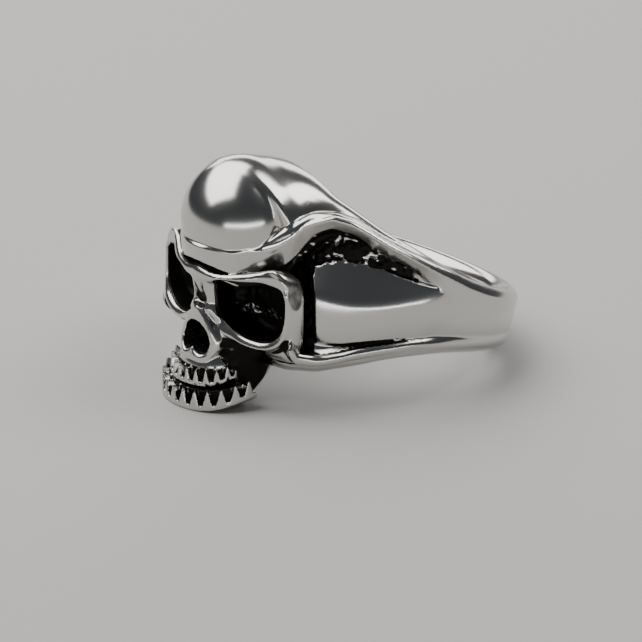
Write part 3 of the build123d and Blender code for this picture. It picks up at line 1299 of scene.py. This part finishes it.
    @staticmethod
    def relax(vertices: Values, quads: Values, normals: Values, share: float) -> Values:
        """Slides each vertex along the surface towards the middle of its neighbours.

        Args:
            vertices: Places, a row each.
            quads: The quads' vertices.
            normals: Unit directions out of the surface.
            share: How far towards the middle.

        Returns:
            The new places.
        """
        here = quads.reshape(-1)
        there = np.roll(quads, -1, axis=1).reshape(-1)
        ends, starts = np.concatenate((here, there)), np.concatenate((there, here))
        count = np.bincount(ends, minlength=len(vertices))
        middle = np.stack(
            [np.bincount(ends, vertices[starts, i], len(vertices)) / count for i in range(3)], axis=1
        )
        move = middle - vertices
        move -= normals * np.einsum("ij,ij->i", move, normals)[:, None]
        return vertices + share * move

    @staticmethod
    def draw(casting: Casting, vertices: Values, most: float) -> tuple:
        """Moves vertices onto the surface: against the slope, by the field's height over the slope's length.

        Args:
            casting: What is meshed.
            vertices: Places, a row each.
            most: The longest move, in mm.

        Returns:
            The new places, and unit directions out of the surface from the old ones.
        """
        height, slope = casting.normals(vertices)
        length = np.linalg.norm(slope, axis=1)[:, None] + TINY
        shift = np.clip(height[:, None] / length, -most, most)
        return vertices - shift * slope / length, slope / length

    def build(self, casting: Casting) -> tuple:
        """Traces the field, then draws the vertices onto it and evens them out, a few times over.

        Args:
            casting: What is meshed.

        Returns:
            Vertices, quads and unit normals.
        """
        vertices, quads = self.trace(casting.field)
        for _ in range(self.rounds):
            vertices, normals = self.draw(casting, vertices, self.most_shift)
            vertices = self.relax(vertices, quads, normals, self.evening)
        vertices, _ = self.draw(casting, vertices, self.most_shift)
        vertices, normals = self.draw(casting, vertices, self.last_shift)
        return vertices, quads, normals


@dataclass(frozen=True)
class PolishedSteel:
    """Polished cast steel whose hollows are blackened, with shade painted black in places: the share of
    black is kept on the mesh.
    """

    name: str = "polished_steel"
    bright: tuple = (0.60, 0.588, 0.56)
    bright_roughness: float = 0.19
    black: tuple = (0.012, 0.011, 0.010)
    black_roughness: float = 0.42
    attribute: str = "patina"
    noise_scale: float = 900.0
    noise_detail: float = 6.0
    noise_share: float = 0.5
    edge: tuple = (0.25, 0.65)

    @staticmethod
    def add(tree: bpy.types.NodeTree, kind: str, inputs: dict, **settings: object) -> bpy.types.Node:
        """Adds a node. An input that is given an output is linked to it, and any other is set.

        Args:
            tree: The material's nodes.
            kind: The node's type.
            inputs: What each input gets, by its name or number.
            settings: The node's own settings.

        Returns:
            The node.
        """
        node = tree.nodes.new(kind)
        for name, value in settings.items():
            setattr(node, name, value)
        for name, value in inputs.items():
            if isinstance(value, bpy.types.NodeSocket):
                tree.links.new(value, node.inputs[name])
            else:
                node.inputs[name].default_value = value
        return node

    def material(self) -> bpy.types.Material:
        """Mixes two metals by the mesh's own attribute, with an edge that fine noise makes uneven.

        Returns:
            The material.
        """
        made = bpy.data.materials.new(self.name)
        made.use_nodes = True
        tree = made.node_tree
        place = self.add(tree, "ShaderNodeTexCoord", {}).outputs["Object"]
        noise = self.add(tree, "ShaderNodeTexNoise", {
            "Vector": place, "Scale": self.noise_scale, "Detail": self.noise_detail,
        })
        uneven = self.add(tree, "ShaderNodeMath", {
            0: noise.outputs["Fac"], 1: self.noise_share, 2: -self.noise_share / 2,
        }, operation="MULTIPLY_ADD")
        # reads the share of black, painted shade included
        patina = self.add(tree, "ShaderNodeAttribute", {}, attribute_name=self.attribute)
        share = self.add(tree, "ShaderNodeMath", {
            0: patina.outputs["Fac"], 1: uneven.outputs[0],
        }, operation="ADD", use_clamp=True)
        step = self.add(tree, "ShaderNodeMapRange", {
            "Value": share.outputs[0], "From Min": self.edge[0], "From Max": self.edge[1],
        }, interpolation_type="SMOOTHSTEP").outputs["Result"]
        colour = self.add(tree, "ShaderNodeMix", {
            "Factor": step, "A": (*self.bright, 1.0), "B": (*self.black, 1.0),
        }, data_type="RGBA")
        gloss = self.add(tree, "ShaderNodeMapRange", {
            "Value": step, "To Min": self.bright_roughness, "To Max": self.black_roughness,
        })
        shader = tree.nodes["Principled BSDF"]
        tree.links.new(colour.outputs["Result"], shader.inputs["Base Color"])
        tree.links.new(gloss.outputs["Result"], shader.inputs["Roughness"])
        shader.inputs["Metallic"].default_value = 1.0
        return made


@dataclass
class SkullRing:
    """The ring itself: one mesh in place of the plain solid."""

    casting: Casting
    net: SurfaceNet = field(default_factory=SurfaceNet)
    finish: PolishedSteel = field(default_factory=PolishedSteel)
    name: str = "skull_ring_cast"

    def build(self) -> bpy.types.Object:
        """Meshes the casting, keeps on the vertices its share of black, from the hollows and from painted
        shade, and dresses it.

        Returns:
            The ring.
        """
        vertices, quads, normals = self.net.build(self.casting)
        ring = self.casting.ring
        mesh = bpy.data.meshes.new(self.name)
        mesh.from_pydata(ring.world(vertices), [], quads.tolist())
        mesh.polygons.foreach_set("use_smooth", np.ones(len(quads), bool))
        patina = mesh.attributes.new(self.finish.attribute, "FLOAT", "POINT")
        # share of black: hollows that keep it, and painted shade under the cheek and in the temple's dent
        patina.data.foreach_set("value", self.casting.patina(vertices, normals).astype(np.float32))
        mesh.normals_split_custom_set_from_vertices(ring.world_directions(normals).tolist())
        mesh.materials.append(self.finish.material())
        piece = bpy.data.objects.new(self.name, mesh)
        bpy.context.scene.collection.objects.link(piece)
        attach(piece, "root")
        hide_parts("skull_ring")
        log.info("%s: %d quads", self.name, len(quads))
        return piece


@dataclass(frozen=True)
class SoftBox:
    """A soft light: its place and its width and height in metres, its power in watts, and its colour."""

    name: str
    place: tuple
    size: tuple
    watts: float
    colour: tuple

    def hang(self, aim: tuple) -> None:
        """Hangs the box and turns it to the point that it lights, in metres."""
        lamp = bpy.data.lights.new(self.name, "AREA")
        lamp.shape = "RECTANGLE"
        lamp.size, lamp.size_y = self.size
        lamp.energy = self.watts
        lamp.color = self.colour
        holder = bpy.data.objects.new(self.name, lamp)
        holder.location = self.place
        holder.rotation_euler = (Vector(aim) - Vector(self.place)).to_track_quat("-Z", "Y").to_euler()
        bpy.context.scene.collection.objects.link(holder)


@dataclass
class Studio:
    """A pale floor, soft lights and the camera. Lengths are in mm unless their names say metres."""

    ring: RingFrame
    azimuth: float = 50.0
    elevation: float = 21.5
    pixels_per_mm: float = 13.3
    image_width: int = 642
    ring_pixel: tuple = (358.0, 278.8)
    distance: float = 2000.0
    sensor: float = 36.0
    seen_from_to_metres: tuple = (0.1, 20.0)
    floor_half_metres: float = 3.0
    floor_colour: tuple = (0.45, 0.445, 0.435, 1.0)
    floor_roughness: float = 0.85
    room_colour: tuple = (0.055, 0.06, 0.066, 1.0)
    lit_point_metres: tuple = (0.0, 0.0, 0.006)
    boxes: tuple = (
        SoftBox("key", (-0.15, -0.08, 0.30), (0.54, 0.34), 2.2, (1.0, 0.985, 0.97)),
        SoftBox("top", (0.10, 0.19, 0.28), (0.26, 0.16), 0.6, (1.0, 0.985, 0.98)),
        SoftBox("back", (-0.28, 0.26, 0.13), (0.40, 0.12), 0.5, (1.0, 0.94, 0.96)),
        SoftBox("low", (0.38, -0.24, 0.03), (0.75, 0.03), 0.45, (0.95, 0.98, 1.0)),
    )

    def floor(self) -> bpy.types.Object:
        """Lays a flat pale sheet under the ring.

        Returns:
            The floor.
        """
        mesh = bpy.data.meshes.new("floor")
        h = self.floor_half_metres
        mesh.from_pydata([(-h, -h, 0), (h, -h, 0), (h, h, 0), (-h, h, 0)], [], [(0, 1, 2, 3)])
        paint = bpy.data.materials.new("floor_paint")
        paint.use_nodes = True
        shader = paint.node_tree.nodes["Principled BSDF"]
        shader.inputs["Base Color"].default_value = self.floor_colour
        shader.inputs["Roughness"].default_value = self.floor_roughness
        mesh.materials.append(paint)
        sheet = bpy.data.objects.new("floor", mesh)
        bpy.context.scene.collection.objects.link(sheet)
        return sheet

    def camera(self) -> bpy.types.Object:
        """Sets the long lens at the viewing angle, so that the hole's middle falls on its pixel.

        Returns:
            The camera.
        """
        a, e = math.radians(self.azimuth), math.radians(self.elevation)
        toward = np.array((math.sin(a) * math.cos(e), -math.cos(a) * math.cos(e), math.sin(e)))
        right = np.array((math.cos(a), math.sin(a), 0.0))
        up = np.cross(toward, right)
        off = (np.array(self.ring_pixel) - self.image_width / 2) / self.pixels_per_mm
        aim = self.ring.centre - off[0] * right + off[1] * up
        lens = bpy.data.cameras.new("camera")
        lens.sensor_width = self.sensor
        lens.lens = self.sensor * self.distance * self.pixels_per_mm / self.image_width
        lens.clip_start, lens.clip_end = self.seen_from_to_metres
        holder = bpy.data.objects.new("camera", lens)
        holder.location = Vector((aim + toward * self.distance) * MM)
        holder.rotation_euler = Vector(-toward).to_track_quat("-Z", "Y").to_euler()
        bpy.context.scene.collection.objects.link(holder)
        bpy.context.scene.camera = holder
        return holder

    def build(self) -> None:
        """Sets the floor, the lights, the world and the camera."""
        self.floor()
        for box in self.boxes:
            box.hang(self.lit_point_metres)
        world = bpy.data.worlds.new("studio")
        world.use_nodes = True
        world.node_tree.nodes["Background"].inputs["Color"].default_value = self.room_colour
        bpy.context.scene.world = world
        self.camera()


def main() -> None:
    """Builds the ring, then the studio round it."""
    logging.basicConfig(level=logging.INFO, format="%(asctime)s %(name)s: %(message)s")
    ring = RingFrame.from_record(frame["record"])
    SkullRing(Casting(ring)).build()
    Studio(ring).build()
    log.info("studio ready")


if __name__ == "__main__":
    main()
